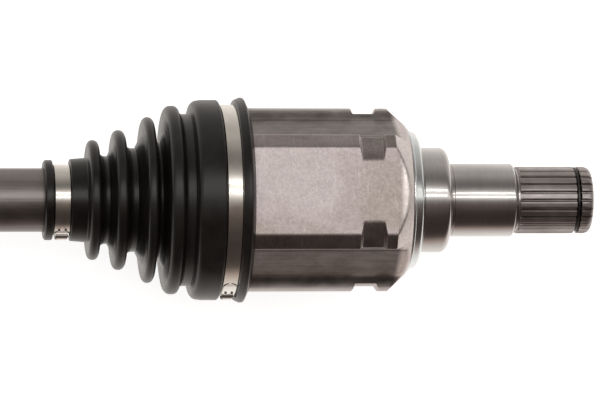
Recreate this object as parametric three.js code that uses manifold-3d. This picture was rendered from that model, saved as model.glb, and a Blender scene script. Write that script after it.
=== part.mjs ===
// A passenger car's front drive axle (CV axle), in millimetres.
// The origin is the middle of the axle on its centreline. +X points along the axle to the inboard stub, which
// fits the gearbox. +Z is the direction of the first trunnion of the inboard tripod joint.

import * as THREE from 'three';
import { mergeVertices } from 'three/addons/utils/BufferGeometryUtils.js';
import Module from 'manifold-3d';

const wasm = await Module();
wasm.setup();

// ---------------------------------------------------------------- driving dimensions

const GAP = 0.3; // clearance between pieces that touch on the real axle
const ROUND = 24; // facets round a large turned piece
const SMALL_ROUND = 20; // facets round a small turned piece
const WELD = 1e-3; // vertices closer than this are one vertex
const BIG = 200; // longer than any piece that it cuts
const PAST = 1; // how far a cut reaches past the face that it opens

const HALF_LENGTH = 310; // half of the axle's overall length

// Inboard joint: stations along X, and radii.
const SPIDER_X = 183.5; // centre of the tripod spider at rest
const MOUTH_X = 153.5; // open end of the tripod housing
const TULIP = {
  seatEnd: 165, seatR: 35.5, bodyR: 37.7, coneStart: 225, coneEnd: 232.2, coneR: 31,
  grooveStart: 210.6, grooveEnd: 220.3, grooveR: 35.5, grooveSlope: 0.5,
  flatDistance: 33.2, troughDistance: 31.9, troughHalfWidth: 13.85, troughCorner: 4,
  boreR: 19.5, boreEnd: 216, mouthBoreR: 23, mouthBoreDepth: 14, trackEnd: 214, trackR: 16.1, trackTop: 27.5,
};
const STUB = {
  shieldEnd: 236.7, collarEnd: 249.8, collarR: 21.6, collarCorner: 3, journalEnd: 277.1, journalR: 15.05,
  journalChamfer: 1.3, undercutEnd: 279.2, undercutR: 12.6, splineR: 13.77, splineRootR: 12.5, teeth: 24,
  endChamfer: 3, endR: 11.3, clipStart: 303.6, clipEnd: 305.8, clipR: 12.1, clipRise: 0.2, clipGap: 24,
};
const SHIELD = { outerR: 29.8, stepR: 26, endR: 25, thickness: 1.6 };

// Tripod: the trunnion ball's centre is PITCH_R from the axis.
const PITCH_R = 21;
const SPIDER = {
  hubR: 15, hubEdgeR: 14, hubHalf: 9, hubFlat: 4.5, boreR: 11.6, neckR: 6.6, ballR: 9, ballCut: 4.6,
};
const ROLLER = { outerR: 15.5, boreR: 13.2, half: 4.5 };
const INNER_RING = { outerR: 11, boreR: 9.7, half: 4.5 };
const NEEDLES = {
  count: 8, sides: 5, pitchR: 12.1, needleR: 0.75, half: 3.9,
  cageInnerR: 11.6, cageOuterR: 12.6, cageWidth: 0.6,
};
const RETAINER = { innerR: 9.9, outerR: 13.8, start: 4.8, width: 0.8 };

// Interconnecting bar.
const BAR = {
  radius: 12.96, splineR: 11.3, neckR: 11.5, endX: 197, splineEnd: 171, neckEnd: 138, mainStart: 132,
  seatR: 11.6, seatStart: 94.5, seatEnd: 86.5, seatRamp: 1.4, endChamfer: 1.2,
  clipGrooveR: 10.4, clipWidth: 1.4, clipSlack: 0.3, clipRise: 1.5, clipGap: 30,
};
const BAR_OUT = { mainEnd: -160, neckStart: -166, neckR: 12, splineStart: -178, splineR: 12.6, endX: -206 };

// Outboard joint: X measured from its centre.
const OUTER_X = -192;
const BELL = {
  mouth: 14, seatR: 39.6, seatEnd: 0, bodyR: 43.5, bodyEnd: -12, bowlR: 24.5, hubFace: -44, shoulderR: 24,
  shoulderLength: 5, sphereR: 30.3, floor: -26, mouthBoreR: 31.5, mouthBoreDepth: 3.6, mouthBoreInnerR: 28.3,
};
const OUTER_STUB = {
  rootEnd: -46.5, rootR: 15.2, splineEnd: -86, splineR: 14, splineRootR: 12.8, teeth: 26, threadR: 11.9,
  reliefEnd: -88.5, reliefR: 11, endChamfer: 1.8,
};
const BALL = {
  count: 6, radius: 8, pitchR: 26, grooveR: 9.1, grooveHalfAngle: THREE.MathUtils.degToRad(42),
  facets: 12, rows: 7, // of the ball's mesh
};
const CAGE = { outerR: 29.9, innerR: 25.2, half: 12, windowHalf: 8.35, windowHalfAround: 8.9 };
const RACE = { outerR: 24.9, half: 11.5, boreR: 12.95 };
const NUT = {
  start: -298, end: -286, acrossFlats: 32, boreR: 12.25, washerR: 17.5, washerWidth: 1.6, chamfer: 1.2,
};

// Boots, from the small end to the large one: each fold is a valley and the rib after it.
const RUBBER = 2.1; // wall of the folds
const FOLD_CREST = 1.2; // half the width of a rib's crest
const LIP_EDGE = 0.6; // softened corner of a lip or rim
const NECK_EDGE = 0.8; // softened corner beside the small band
const INBOARD_BOOT = {
  lipStart: 83.8, lipEnd: 87.6, lipR: 16.4, seatEnd: 94.6, seatR: 13.7, neckEnd: 100.6, neckR: 17.2,
  folds: [
    { rib: [103.8, 24.5], valley: [108.7, 17.9] },
    { rib: [114.5, 28.6], valley: [120.2, 21.2] },
    { rib: [126.4, 33.95], valley: [130.5, 23.7] },
    { rib: [135.4, 38.6], valley: [141.6, 35.2] },
  ],
  bodyStart: 143.2, bodyR: 41.05, bodyCorner: 2.5, bandStart: 155.3, bandEnd: 161.9, bandR: 38.3,
  rimX: 165.2, rimR: 42.05, end: 166.9, endR: 38.9, mouthSlack: 6,
};
const OUTBOARD_BOOT = {
  lipStart: -96, lipEnd: -99.8, lipR: 16.4, seatEnd: -106.8, seatR: 13.7, neckEnd: -113, neckR: 17.2,
  folds: [
    { rib: [-116.6, 23], valley: [-121.4, 17.4] },
    { rib: [-126.6, 26.5], valley: [-132, 19.6] },
    { rib: [-137.6, 30.4], valley: [-143, 22.2] },
    { rib: [-148.8, 34.4], valley: [-154, 25.4] },
    { rib: [-159.6, 38.2], valley: [-165.2, 31.6] },
  ],
  bodyStart: -168.5, bodyR: 41.2, bodyCorner: 2.5, bandStart: -180.4, bandEnd: -187, bandR: 40.7,
  rimX: -188.8, rimR: 42.6, end: -190.6, endR: 41, mouthSlack: 3,
};
const CLAMP = { thickness: 0.55, earHeight: 1.9, earLength: 9, earWidthShare: 0.8 };

const INBOARD_SMALL_BAND = { start: 87.9, end: 94.3, radius: INBOARD_BOOT.seatR + GAP };
const INBOARD_LARGE_BAND = { start: 155.6, end: 161.6, radius: INBOARD_BOOT.bandR + GAP };
const OUTBOARD_SMALL_BAND = { start: -106.5, end: -100.1, radius: OUTBOARD_BOOT.seatR + GAP };
const OUTBOARD_LARGE_BAND = { start: -186.7, end: -180.7, radius: OUTBOARD_BOOT.bandR + GAP };

// ---------------------------------------------------------------- materials

const metal = (color, roughness) => new THREE.MeshStandardMaterial({ color, roughness, metalness: 1 });
const material = {
  forged: metal(0x8d8682, 0.42),
  ground: metal(0xb9b6b2, 0.25),
  zinc: metal(0xb4bcc0, 0.35),
  hardened: metal(0x9a9a9c, 0.2),
  bar: metal(0x5c5450, 0.5),
  spring: metal(0x2a2a2c, 0.45),
  clamp: metal(0xc8c8c6, 0.28),
  rubber: new THREE.MeshStandardMaterial({ color: 0x1b1b1c, roughness: 0.55, metalness: 0 }),
};

// ---------------------------------------------------------------- shape helpers

// A geometry as a closed solid: welded, without empty triangles, and facing out.
function solidOf(geometry) {
  const bare = new THREE.BufferGeometry();
  const flat = geometry.index ? geometry.toNonIndexed() : geometry;
  bare.setAttribute('position', flat.getAttribute('position').clone());
  const welded = mergeVertices(bare, WELD);
  const corners = welded.index.array;
  const position = welded.getAttribute('position');
  const triangles = [];
  const [a, b, c] = [new THREE.Vector3(), new THREE.Vector3(), new THREE.Vector3()];
  let volume = 0;
  for (let i = 0; i < corners.length; i += 3) {
    const [p, q, r] = corners.slice(i, i + 3);
    if (p === q || q === r || r === p) continue;
    triangles.push(p, q, r);
    a.fromBufferAttribute(position, p);
    b.fromBufferAttribute(position, q);
    c.fromBufferAttribute(position, r);
    volume += a.dot(b.cross(c));
  }
  if (volume < 0) triangles.reverse();
  return new wasm.Manifold(new wasm.Mesh({
    numProp: 3, vertProperties: position.array, triVerts: new Uint32Array(triangles),
  }));
}

function geometryOf(solid) {
  const mesh = solid.getMesh();
  const geometry = new THREE.BufferGeometry();
  geometry.setAttribute('position', new THREE.BufferAttribute(mesh.vertProperties, 3));
  geometry.setIndex(new THREE.BufferAttribute(mesh.triVerts, 1));
  geometry.computeVertexNormals();
  return geometry;
}

// A profile of [x, radius] points turned about the X axis. It starts and ends on the axis.
function turned(profile, facets = ROUND) {
  const geometry = new THREE.LatheGeometry(profile.map(([x, r]) => new THREE.Vector2(r, x)), facets);
  geometry.rotateZ(-Math.PI / 2);
  return solidOf(geometry);
}

// A closed profile of [x, radius] points turned about the X axis, which it doesn't touch.
const ring = (profile, facets = ROUND) => turned([...profile, profile[0]], facets);

// A plain ring between two stations and two radii.
const band = (start, end, innerR, outerR, facets = ROUND) =>
  ring([[start, innerR], [start, outerR], [end, outerR], [end, innerR]], facets);

// Points on an arc in the [x, radius] plane, from one angle to another in radians.
function arc(x, r, radius, from, to, steps) {
  const points = [];
  for (let i = 0; i <= steps; i += 1) {
    const angle = from + (to - from) * (i / steps);
    points.push([x + radius * Math.cos(angle), r + radius * Math.sin(angle)]);
  }
  return points;
}

// A section in the Y-Z plane extruded along X from one station to another.
function prism(shape, start, end, curveSegments = 8) {
  const depth = end - start;
  const geometry = new THREE.ExtrudeGeometry(shape, { depth, bevelEnabled: false, curveSegments });
  const toAxle = new THREE.Matrix4().makeBasis(
    new THREE.Vector3(0, 1, 0), new THREE.Vector3(0, 0, 1), new THREE.Vector3(1, 0, 0),
  );
  geometry.applyMatrix4(toAxle).translate(start, 0, 0);
  return solidOf(geometry);
}

const moved = (solid, x, y, z) => solid.translate([x, y, z]);
const spunAboutX = (solid, degrees) => solid.rotate([degrees, 0, 0]);

function block(sizeX, sizeY, sizeZ, x, y, z) {
  return moved(solidOf(new THREE.BoxGeometry(sizeX, sizeY, sizeZ)), x, y, z);
}

// Copies of a solid at equal angles about the X axis, joined.
function spunCopies(solid, count) {
  let all = solid;
  for (let i = 1; i < count; i += 1) all = all.add(spunAboutX(solid, (360 / count) * i));
  return all;
}

// The section of a spline: teeth with flat tips and roots and straight flanks, placed by shares of a pitch.
function splineSection(teeth, tipR, rootR) {
  const shape = new THREE.Shape();
  const pitch = (2 * Math.PI) / teeth;
  const corners = [[0.12, rootR], [0.3, tipR], [0.7, tipR], [0.88, rootR]];
  for (let i = 0; i < teeth; i += 1) {
    for (const [share, radius] of corners) {
      const angle = (i + share) * pitch;
      const point = [radius * Math.cos(angle), radius * Math.sin(angle)];
      if (shape.curves.length || shape.currentPoint.lengthSq()) shape.lineTo(...point);
      else shape.moveTo(...point);
    }
  }
  shape.closePath();
  return shape;
}

// A splined length of shaft, chamfered at the end that a bore slides on to.
function splinedShaft(start, end, free, chamfer, sizes) {
  const inner = free === end ? start : end;
  const slope = Math.sign(free - inner);
  const pastR = sizes.splineR + PAST;
  const envelope = turned([
    [inner, 0], [inner, pastR], [free - slope * chamfer, pastR],
    [free - slope * chamfer, sizes.splineR], [free, sizes.endR], [free, 0],
  ], ROUND * 2);
  return prism(splineSection(sizes.teeth, sizes.splineR, sizes.splineRootR), start, end).intersect(envelope);
}

// ---------------------------------------------------------------- inboard joint

// The outside of the tripod housing: turned, with a flat over each track and a trough between the flats.
// With slack it is the hole that the boot's grommet keeps round it.
function tulipOutside(slack) {
  const { seatEnd, seatR, bodyR, coneStart, coneEnd, coneR, flatDistance, troughDistance } = TULIP;
  const start = MOUTH_X - slack;
  const outside = turned([
    [start, 0], [start, seatR + slack], [seatEnd - slack, seatR + slack], [seatEnd - slack, bodyR + slack],
    [coneStart, bodyR + slack], [coneEnd, coneR + slack], [coneEnd, 0],
  ]);
  const flat = block(BIG, BIG, BIG, SPIDER_X, 0, flatDistance + slack + BIG / 2);
  const half = TULIP.troughHalfWidth - slack;
  const floor = troughDistance + slack;
  const section = new THREE.Shape();
  section.moveTo(-half, BIG);
  section.lineTo(-half, floor + TULIP.troughCorner);
  section.quadraticCurveTo(-half, floor, -half + TULIP.troughCorner, floor);
  section.lineTo(half - TULIP.troughCorner, floor);
  section.quadraticCurveTo(half, floor, half, floor + TULIP.troughCorner);
  section.lineTo(half, BIG);
  section.closePath();
  const trough = spunAboutX(prism(section, MOUTH_X - BIG / 2, MOUTH_X + BIG, 3), 180);
  return outside.subtract(spunCopies(flat, 3)).subtract(spunCopies(trough, 3));
}

// The hollow of the housing: a centre bore with a bell-mouth, and three roller tracks along X.
function tulipHollow() {
  const { boreR, boreEnd, mouthBoreR, mouthBoreDepth, trackEnd, trackR, trackTop } = TULIP;
  const open = MOUTH_X - PAST;
  const bore = turned([
    [open, 0], [open, mouthBoreR], [MOUTH_X, mouthBoreR], [MOUTH_X + mouthBoreDepth, boreR], [boreEnd, boreR],
    [boreEnd, 0],
  ]);
  const shoulder = Math.asin((trackTop - PITCH_R) / trackR);
  const section = new THREE.Shape();
  section.absarc(0, PITCH_R, trackR, Math.PI - shoulder, 2 * Math.PI + shoulder, false);
  section.closePath();
  const track = prism(section, open, trackEnd, 8);
  return bore.add(spunCopies(track, 3));
}

function inboardStub() {
  const { coneEnd } = TULIP;
  const cornerR = STUB.collarCorner;
  const collarCorner = arc(STUB.collarEnd - cornerR, STUB.collarR - cornerR, cornerR, Math.PI / 2, 0, 3);
  const shaft = turned([
    [coneEnd - PAST, 0], [coneEnd - PAST, STUB.collarR], ...collarCorner, [STUB.collarEnd, STUB.journalR],
    [STUB.journalEnd - STUB.journalChamfer, STUB.journalR],
    [STUB.journalEnd, STUB.journalR - STUB.journalChamfer], [STUB.journalEnd, STUB.undercutR],
    [STUB.undercutEnd + PAST, STUB.undercutR], [STUB.undercutEnd + PAST, 0],
  ]);
  const spline = splinedShaft(STUB.undercutEnd, HALF_LENGTH, HALF_LENGTH, STUB.endChamfer, STUB);
  const clipGroove = band(STUB.clipStart, STUB.clipEnd, STUB.clipR, STUB.splineR + PAST);
  return shaft.add(spline).subtract(clipGroove);
}

function inboardHousing() {
  const { grooveStart, grooveEnd, grooveR, grooveSlope, bodyR } = TULIP;
  const pullerGroove = ring([
    [grooveStart + grooveSlope, grooveR], [grooveStart - grooveSlope, bodyR + PAST],
    [grooveEnd + grooveSlope, bodyR + PAST], [grooveEnd - grooveSlope, grooveR],
  ]);
  return tulipOutside(0).subtract(pullerGroove).add(inboardStub()).subtract(tulipHollow());
}

function dustShield() {
  const start = TULIP.coneEnd + GAP;
  const innerR = STUB.collarR + GAP;
  return ring([
    [start, innerR], [start, SHIELD.outerR], [start + SHIELD.thickness, SHIELD.outerR],
    [start + SHIELD.thickness, SHIELD.stepR], [STUB.shieldEnd, SHIELD.endR], [STUB.shieldEnd, innerR],
  ]);
}

// An open ring of round wire or flat spring steel, with its gap on the -Y side.
function openRing(start, end, innerR, outerR, gapDegrees) {
  const gap = THREE.MathUtils.degToRad(gapDegrees);
  const shape = new THREE.Shape();
  shape.absarc(0, 0, outerR, Math.PI + gap / 2, 3 * Math.PI - gap / 2, false);
  shape.absarc(0, 0, innerR, 3 * Math.PI - gap / 2, Math.PI + gap / 2, true);
  shape.closePath();
  return prism(shape, start, end, SMALL_ROUND / 2);
}

function stubCirclip() {
  const { clipStart, clipEnd, clipR, splineR, clipRise, clipGap } = STUB;
  return openRing(clipStart + GAP, clipEnd - GAP, clipR + GAP, splineR + clipRise, clipGap);
}

// One piece of a roller set is modelled about its trunnion's axis, then set at the pitch radius along +Z.
function onTrunnion(profile, facets) {
  return moved(ring(profile, facets).rotate([0, -90, 0]), SPIDER_X, 0, PITCH_R);
}

const tube = (start, end, innerR, outerR) => [[start, innerR], [start, outerR], [end, outerR], [end, innerR]];

function rollerOuter() {
  const { outerR, boreR, half } = ROLLER;
  const edge = Math.asin(half / outerR);
  const crown = arc(0, 0, outerR, Math.PI / 2 + edge, Math.PI / 2 - edge, 4);
  return onTrunnion([[-half, boreR], ...crown, [half, boreR]], SMALL_ROUND);
}

function needleSet() {
  const { count, sides, pitchR, needleR, half, cageInnerR, cageOuterR, cageWidth } = NEEDLES;
  const roller = turned([[-half, 0], [-half, needleR], [half, needleR], [half, 0]], sides);
  const needle = moved(roller, 0, 0, pitchR);
  const cage = band(-half, -half + cageWidth, cageInnerR, cageOuterR, SMALL_ROUND)
    .add(band(half - cageWidth, half, cageInnerR, cageOuterR, SMALL_ROUND));
  return moved(cage.add(spunCopies(needle, count)).rotate([0, -90, 0]), SPIDER_X, 0, PITCH_R);
}

function tripodSpider() {
  const { hubR, hubEdgeR, hubHalf, hubFlat, boreR, neckR, ballR, ballCut } = SPIDER;
  const hub = ring([
    [-hubHalf, boreR], [-hubHalf, hubEdgeR], [-hubFlat, hubR], [hubFlat, hubR], [hubHalf, hubEdgeR],
    [hubHalf, boreR],
  ]);
  const cut = Math.asin(ballCut / ballR);
  const neckAngle = Math.asin(neckR / ballR);
  const ball = arc(PITCH_R, 0, ballR, Math.PI - neckAngle, cut, 6)
    .filter(([x]) => x < PITCH_R + ballCut);
  const trunnion = turned([
    [boreR + PAST, 0], [boreR + PAST, neckR], ...ball, [PITCH_R + ballCut, ballR * Math.cos(cut)],
    [PITCH_R + ballCut, 0],
  ], SMALL_ROUND).rotate([0, -90, 0]);
  return moved(hub.add(spunCopies(trunnion, 3)), SPIDER_X, 0, 0);
}

// A snap ring in a groove of the bar, beside the spider or the inner race.
const barClip = (start) => openRing(
  start, start + BAR.clipWidth, BAR.clipGrooveR + BAR.clipSlack, BAR.splineR + BAR.clipRise, BAR.clipGap,
);

const SPIDER_CLIP_OUTER = SPIDER_X + SPIDER.hubHalf + GAP;
const SPIDER_CLIP_INNER = SPIDER_X - SPIDER.hubHalf - GAP - BAR.clipWidth;
const RACE_CLIP = OUTER_X - RACE.half - GAP - BAR.clipWidth;

// ---------------------------------------------------------------- bar

function clipGroove(start) {
  const { clipGrooveR, clipWidth, clipSlack } = BAR;
  return band(start - clipSlack, start + clipWidth + clipSlack, clipGrooveR, BAR.radius + PAST, SMALL_ROUND);
}

function bootSeatGroove(start, end, ramp) {
  const topR = BAR.radius + PAST;
  return ring([[start, BAR.seatR], [start - ramp, topR], [end + ramp, topR], [end, BAR.seatR]], SMALL_ROUND);
}

function axleBar() {
  const bar = turned([
    [BAR.endX, 0], [BAR.endX, BAR.splineR - BAR.endChamfer], [BAR.endX - BAR.endChamfer, BAR.splineR],
    [BAR.splineEnd, BAR.splineR], [BAR.splineEnd, BAR.neckR], [BAR.neckEnd, BAR.neckR],
    [BAR.mainStart, BAR.radius], [BAR_OUT.mainEnd, BAR.radius], [BAR_OUT.neckStart, BAR_OUT.neckR],
    [BAR_OUT.splineStart, BAR_OUT.neckR], [BAR_OUT.splineStart, BAR_OUT.splineR],
    [BAR_OUT.endX + BAR.endChamfer, BAR_OUT.splineR], [BAR_OUT.endX, BAR_OUT.splineR - BAR.endChamfer],
    [BAR_OUT.endX, 0],
  ], SMALL_ROUND);
  const seatLength = BAR.seatStart - BAR.seatEnd;
  return bar
    .subtract(clipGroove(SPIDER_CLIP_OUTER))
    .subtract(clipGroove(SPIDER_CLIP_INNER))
    .subtract(clipGroove(RACE_CLIP))
    .subtract(bootSeatGroove(BAR.seatEnd, BAR.seatStart, BAR.seatRamp))
    .subtract(bootSeatGroove(OUTBOARD_SMALL_BAND.start - GAP, OUTBOARD_SMALL_BAND.start - GAP + seatLength,
      BAR.seatRamp));
}

// ---------------------------------------------------------------- outboard joint

// The path of a ball's centre along its groove, in the plane that holds the +Z direction.
class GrooveArc extends THREE.Curve {
  getPoint(t, target = new THREE.Vector3()) {
    const angle = BALL.grooveHalfAngle * (2 * t - 1);
    return target.set(BALL.pitchR * Math.sin(angle), 0, BALL.pitchR * Math.cos(angle));
  }
}

function ballGrooves() {
  const section = new THREE.Shape();
  section.absarc(0, 0, BALL.grooveR, 0, 2 * Math.PI, false);
  const geometry = new THREE.ExtrudeGeometry(section, {
    steps: 6, curveSegments: 5, extrudePath: new GrooveArc(),
  });
  return spunCopies(solidOf(geometry), BALL.count);
}

function outboardHousing(grooves) {
  const { mouth, seatR, seatEnd, bodyR, bodyEnd, bowlR } = BELL;
  const { shoulderR, shoulderLength, hubFace, sphereR, floor } = BELL;
  const { rootEnd, rootR, splineEnd, splineRootR, threadR, reliefEnd, reliefR, endChamfer } = OUTER_STUB;
  const stubEnd = -HALF_LENGTH - OUTER_X;
  const bowl = arc(bodyEnd, bodyR - bowlR, bowlR, Math.PI / 2, (3 * Math.PI) / 4, 3);
  const outside = turned([
    [mouth, 0], [mouth, seatR], [seatEnd, seatR], [seatEnd, bodyR], ...bowl,
    [hubFace + shoulderLength, shoulderR], [hubFace, shoulderR], [hubFace, rootR], [rootEnd, splineRootR],
    [splineEnd, splineRootR], [splineEnd, reliefR],
    [reliefEnd, reliefR], [reliefEnd, threadR], [stubEnd + endChamfer, threadR],
    [stubEnd, threadR - endChamfer], [stubEnd, 0],
  ]);
  const spline = splinedShaft(splineEnd, rootEnd, splineEnd, endChamfer, { ...OUTER_STUB, endR: reliefR });
  const faceAngle = Math.acos(floor / sphereR);
  const mouthAngle = Math.acos(BELL.mouthBoreInnerR / sphereR);
  const sphere = turned([
    [floor, 0], ...arc(0, 0, sphereR, faceAngle, Math.PI / 2 - mouthAngle, 8),
    [mouth - BELL.mouthBoreDepth, BELL.mouthBoreInnerR], [mouth, BELL.mouthBoreR],
    [mouth + PAST, BELL.mouthBoreR], [mouth + PAST, 0],
  ]);
  return moved(outside.add(spline).subtract(sphere).subtract(grooves), OUTER_X, 0, 0);
}

function innerRace(grooves) {
  const edge = Math.acos(RACE.half / RACE.outerR);
  const race = ring([
    [-RACE.half, RACE.boreR], ...arc(0, 0, RACE.outerR, Math.PI - edge, edge, 6), [RACE.half, RACE.boreR],
  ]);
  return moved(race.subtract(grooves), OUTER_X, 0, 0);
}

function ballCage() {
  const { outerR, innerR, half, windowHalf, windowHalfAround } = CAGE;
  const outerEdge = Math.acos(half / outerR);
  const innerEdge = Math.acos(half / innerR);
  const shell = ring([
    ...arc(0, 0, innerR, innerEdge, Math.PI - innerEdge, 6),
    ...arc(0, 0, outerR, Math.PI - outerEdge, outerEdge, 6),
  ]);
  const window = block(2 * windowHalf, 2 * windowHalfAround, outerR, 0, 0, BALL.pitchR);
  return moved(shell.subtract(spunCopies(window, BALL.count)), OUTER_X, 0, 0);
}

const ball = () =>
  moved(solidOf(new THREE.SphereGeometry(BALL.radius, BALL.facets, BALL.rows)), OUTER_X, 0, BALL.pitchR);

function axleNut() {
  const hexagon = new THREE.Shape();
  const cornerR = NUT.acrossFlats / 2 / Math.cos(Math.PI / 6);
  hexagon.absarc(0, 0, cornerR, 0, 2 * Math.PI, false);
  const body = prism(hexagon, NUT.start, NUT.end, 3);
  const envelope = turned([
    [NUT.start, 0], [NUT.start, cornerR - NUT.chamfer], [NUT.start + NUT.chamfer, cornerR],
    [NUT.end, cornerR], [NUT.end, 0],
  ]);
  const washer = turned([
    [NUT.end, 0], [NUT.end, NUT.washerR], [NUT.end - NUT.washerWidth, NUT.washerR],
    [NUT.end - NUT.washerWidth, 0],
  ]);
  const hole = turned([
    [NUT.start - PAST, 0], [NUT.start - PAST, NUT.boreR], [NUT.end + PAST, NUT.boreR], [NUT.end + PAST, 0],
  ]);
  return body.intersect(envelope).add(washer).subtract(hole);
}

// ---------------------------------------------------------------- boots and clamps

// The rubber boot's outside and the hollow within it. The hollow keeps the joint's and the bar's clearance.
function bootOutside(boot) {
  const towards = Math.sign(boot.end - boot.lipStart);
  const folds = boot.folds.flatMap(({ rib: [ribX, ribR], valley: [valleyX, valleyR] }) => [
    [ribX - towards * FOLD_CREST, ribR], [ribX + towards * FOLD_CREST, ribR], [valleyX, valleyR],
  ]);
  return turned([
    [boot.lipStart, 0], [boot.lipStart, boot.lipR - 1], [boot.lipStart + towards, boot.lipR],
    [boot.lipEnd - towards * LIP_EDGE, boot.lipR], [boot.lipEnd, boot.seatR], [boot.seatEnd, boot.seatR],
    [boot.seatEnd, boot.neckR - NECK_EDGE], [boot.neckEnd, boot.neckR], ...folds,
    [boot.bodyStart, boot.bodyR - boot.bodyCorner], [boot.bodyStart + towards * boot.bodyCorner, boot.bodyR],
    [boot.bandStart, boot.bodyR], [boot.bandStart, boot.bandR], [boot.bandEnd, boot.bandR],
    [boot.bandEnd, boot.rimR - LIP_EDGE], [boot.rimX, boot.rimR], [boot.end, boot.endR], [boot.end, 0],
  ]);
}

function bootHollow(boot, mouthX, mouthBoreR, largeBore) {
  const towards = Math.sign(boot.end - boot.lipStart);
  const folds = boot.folds.flatMap(({ rib: [ribX, ribR], valley: [valleyX, valleyR] }) => [
    [ribX, ribR - RUBBER], [valleyX, valleyR - RUBBER],
  ]);
  const mouthR = mouthBoreR + boot.mouthSlack;
  const seatBoreR = BAR.seatR + GAP;
  const barBoreR = BAR.radius + GAP;
  return turned([
    [boot.lipStart - towards, 0], [boot.lipStart - towards, barBoreR], [boot.lipEnd - towards, barBoreR],
    [boot.lipEnd, seatBoreR], [boot.seatEnd - towards, seatBoreR], [boot.seatEnd, barBoreR],
    [boot.neckEnd, barBoreR], ...folds, [boot.bodyStart + towards * RUBBER, mouthR],
    [mouthX - towards * GAP, mouthR], ...largeBore,
  ]);
}

function inboardBoot() {
  const hollow = bootHollow(INBOARD_BOOT, MOUTH_X, TULIP.mouthBoreR, [[MOUTH_X - GAP, 0]]);
  return bootOutside(INBOARD_BOOT).subtract(hollow).subtract(tulipOutside(GAP));
}

function outboardBoot() {
  const mouthX = OUTER_X + BELL.mouth;
  const bore = BELL.seatR + GAP;
  return bootOutside(OUTBOARD_BOOT).subtract(
    bootHollow(OUTBOARD_BOOT, mouthX, BELL.mouthBoreR, [
      [mouthX + GAP, bore], [OUTBOARD_BOOT.end - PAST, bore], [OUTBOARD_BOOT.end - PAST, 0],
    ]),
  );
}

// A crimped band: a thin hoop with its raised ear on the -Y side.
function bandClamp({ start, end, radius }) {
  const outerR = radius + CLAMP.thickness;
  const hoop = band(start, end, radius, outerR);
  const width = (end - start) * CLAMP.earWidthShare;
  const ear = block(width, CLAMP.earHeight + CLAMP.thickness, CLAMP.earLength, (start + end) / 2,
    -(radius + (CLAMP.earHeight + CLAMP.thickness) / 2), 0);
  const clearance = turned([
    [start - PAST, 0], [start - PAST, radius], [end + PAST, radius], [end + PAST, 0],
  ]);
  return hoop.add(ear.subtract(clearance));
}

// ---------------------------------------------------------------- assembly

const axle = new THREE.Group();

function add(parent, name, solid, finish) {
  const mesh = new THREE.Mesh(geometryOf(solid), finish);
  mesh.name = name;
  parent.add(mesh);
}

add(axle, 'inboard_housing', inboardHousing(), material.forged);
add(axle, 'inboard_dust_shield', dustShield(), material.zinc);
add(axle, 'inboard_stub_circlip', stubCirclip(), material.spring);

add(axle, 'tripod_spider', tripodSpider(), material.hardened);
add(axle, 'spider_circlip_inner', barClip(SPIDER_CLIP_INNER), material.spring);
add(axle, 'spider_circlip_outer', barClip(SPIDER_CLIP_OUTER), material.spring);
const rollerPieces = [
  ['roller_inner_ring', onTrunnion(
    tube(-INNER_RING.half, INNER_RING.half, INNER_RING.boreR, INNER_RING.outerR), SMALL_ROUND,
  )],
  ['needle_set', needleSet()],
  ['roller_outer', rollerOuter()],
  ['roller_retainer', onTrunnion(
    tube(RETAINER.start, RETAINER.start + RETAINER.width, RETAINER.innerR, RETAINER.outerR), SMALL_ROUND,
  )],
];
for (let trunnion = 0; trunnion < 3; trunnion += 1) {
  const arm = new THREE.Group();
  arm.rotation.x = (trunnion * 2 * Math.PI) / 3;
  for (const [name, solid] of rollerPieces) add(arm, `${name}_${trunnion + 1}`, solid, material.hardened);
  axle.add(arm);
}

add(axle, 'axle_bar', axleBar(), material.bar);

const grooves = ballGrooves();
add(axle, 'outboard_housing', outboardHousing(grooves), material.forged);
add(axle, 'outboard_inner_race', innerRace(grooves), material.hardened);
add(axle, 'outboard_cage', ballCage(), material.hardened);
for (let i = 0; i < BALL.count; i += 1) {
  const place = new THREE.Group();
  place.rotation.x = (i * 2 * Math.PI) / BALL.count;
  add(place, `ball_${i + 1}`, ball(), material.hardened);
  axle.add(place);
}
add(axle, 'outboard_race_circlip', barClip(RACE_CLIP), material.spring);
add(axle, 'axle_nut', axleNut(), material.ground);

add(axle, 'inboard_boot', inboardBoot(), material.rubber);
add(axle, 'outboard_boot', outboardBoot(), material.rubber);
add(axle, 'inboard_boot_clamp_large', bandClamp(INBOARD_LARGE_BAND), material.clamp);
add(axle, 'inboard_boot_clamp_small', bandClamp(INBOARD_SMALL_BAND), material.clamp);
add(axle, 'outboard_boot_clamp_large', bandClamp(OUTBOARD_LARGE_BAND), material.clamp);
add(axle, 'outboard_boot_clamp_small', bandClamp(OUTBOARD_SMALL_BAND), material.clamp);

export default axle;
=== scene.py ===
"""Looks for a front drive axle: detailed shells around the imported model, their materials, light and camera.

Lengths in the tables below are in millimetres and become metres where a mesh is made. The axle lies along X,
x is a station on it, r a radius, and phi the angle round it, from +Z towards -Y.
"""

import math

import bmesh
import bpy
import numpy as np
from mathutils import Matrix, Vector

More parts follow.
